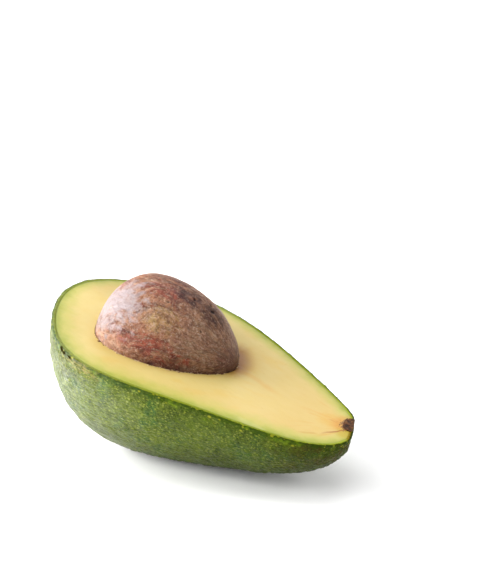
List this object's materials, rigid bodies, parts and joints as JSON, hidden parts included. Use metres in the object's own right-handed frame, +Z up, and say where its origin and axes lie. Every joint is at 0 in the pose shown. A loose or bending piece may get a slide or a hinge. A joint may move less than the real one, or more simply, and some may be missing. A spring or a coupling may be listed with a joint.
{
  "type": "avocado half",
  "caption": "Avocado cut in half lengthwise, with its seed in the flesh, resting on its green pebbled skin.",
  "frame": {"origin": "lowest point of the round side, inside the small flat spot that the half rests on", "axes": "+X from the blunt end to the stem end, level; +Z up, with the cut face turned up and its stem end 13 degrees down"},
  "size_m": [0.1079, 0.0654, 0.0543],
  "materials": {
    "skin": "satin green peel with small pale yellow-green specks",
    "flesh": "smooth moist pale yellow, green next to the skin",
    "seed": "satin red-brown coat with beige patches and fine veins",
    "stem_scar": "rough dark brown cork"
  },
  "bodies": {
    "root": {"skin": "skin", "flesh": "flesh", "seed": "seed", "stem_scar": "stem_scar"}
  },
  "joints": []
}
